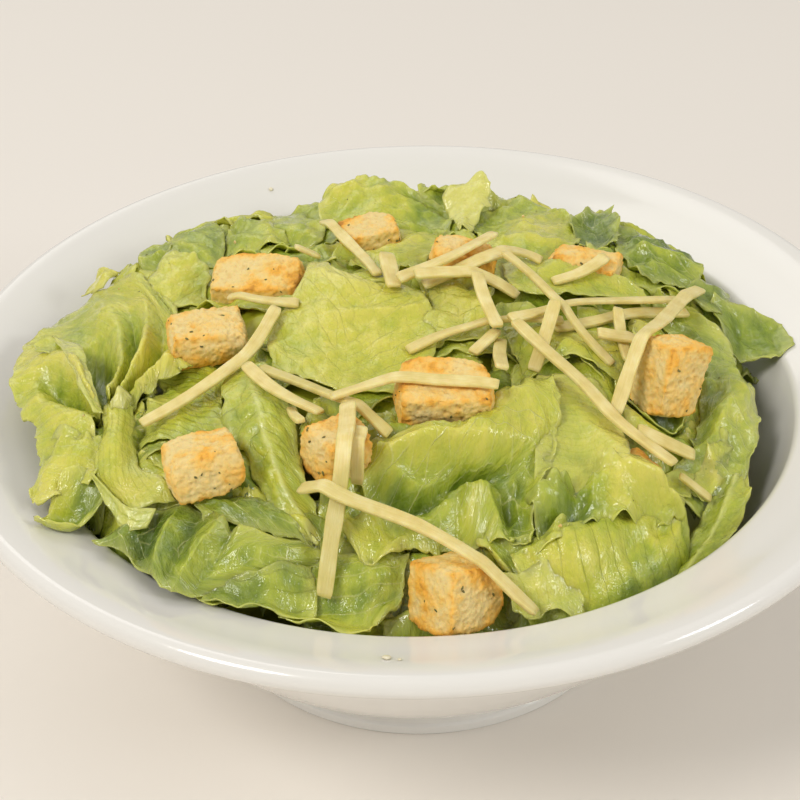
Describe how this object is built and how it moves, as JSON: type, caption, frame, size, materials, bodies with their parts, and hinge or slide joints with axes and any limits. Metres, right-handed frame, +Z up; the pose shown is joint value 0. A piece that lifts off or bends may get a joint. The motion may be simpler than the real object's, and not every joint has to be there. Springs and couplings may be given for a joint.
{
  "type": "caesar salad",
  "caption": "Caesar salad: torn romaine leaves heaped in a wide-rimmed white porcelain bowl, with toasted bread croutons and flat cheese shreds.",
  "frame": {"origin": "middle of the foot ring, on the surface that the bowl stands on", "axes": "+Z up along the bowl's axis; +X to the eater's right, +Y away from the eater"},
  "size_m": [0.23, 0.23, 0.0982],
  "materials": {
    "porcelain": "smooth glossy warm white glaze",
    "lettuce": "moist satin leaf with pale ribs and fine veins, lightly dressed",
    "crouton": "dry toasted porous crumb with browner edges and green herb flecks",
    "cheese": "satin pale cream, slightly translucent, with faint lengthwise lines"
  },
  "bodies": {
    "root": {"bowl": "porcelain", "lettuce": "lettuce", "crouton_back_left": "crouton", "crouton_left": "crouton", "crouton_front_left": "crouton", "crouton_back": "crouton", "crouton_middle": "crouton", "crouton_back_right": "crouton", "crouton_centre": "crouton", "crouton_tilted": "crouton", "crouton_front": "crouton", "crouton_right": "crouton", "crouton_tucked": "crouton", "shred_behind_leaf": "cheese", "shred_back_lean": "cheese", "shred_back_stub": "cheese", "shred_arc": "cheese", "shred_back_long": "cheese", "shred_back_level": "cheese", "shred_back_right": "cheese", "shred_left_short": "cheese", "shred_left_long": "cheese", "shred_thin_left": "cheese", "shred_upright": "cheese", "shred_slant_short": "cheese", "shred_right_band": "cheese", "shred_right_short": "cheese", "shred_middle_left": "cheese", "shred_right_arc": "cheese", "shred_back_steep": "cheese", "shred_right_level": "cheese", "shred_back_slant": "cheese", "shred_right_drop": "cheese", "shred_right_wedge": "cheese", "shred_right_wisp": "cheese", "shred_right_steep": "cheese", "shred_right_long": "cheese", "shred_centre_under": "cheese", "shred_centre_left": "cheese", "shred_centre_arc": "cheese", "shred_front_stub": "cheese", "shred_front_wide": "cheese", "shred_front_long": "cheese"}
  },
  "joints": []
}
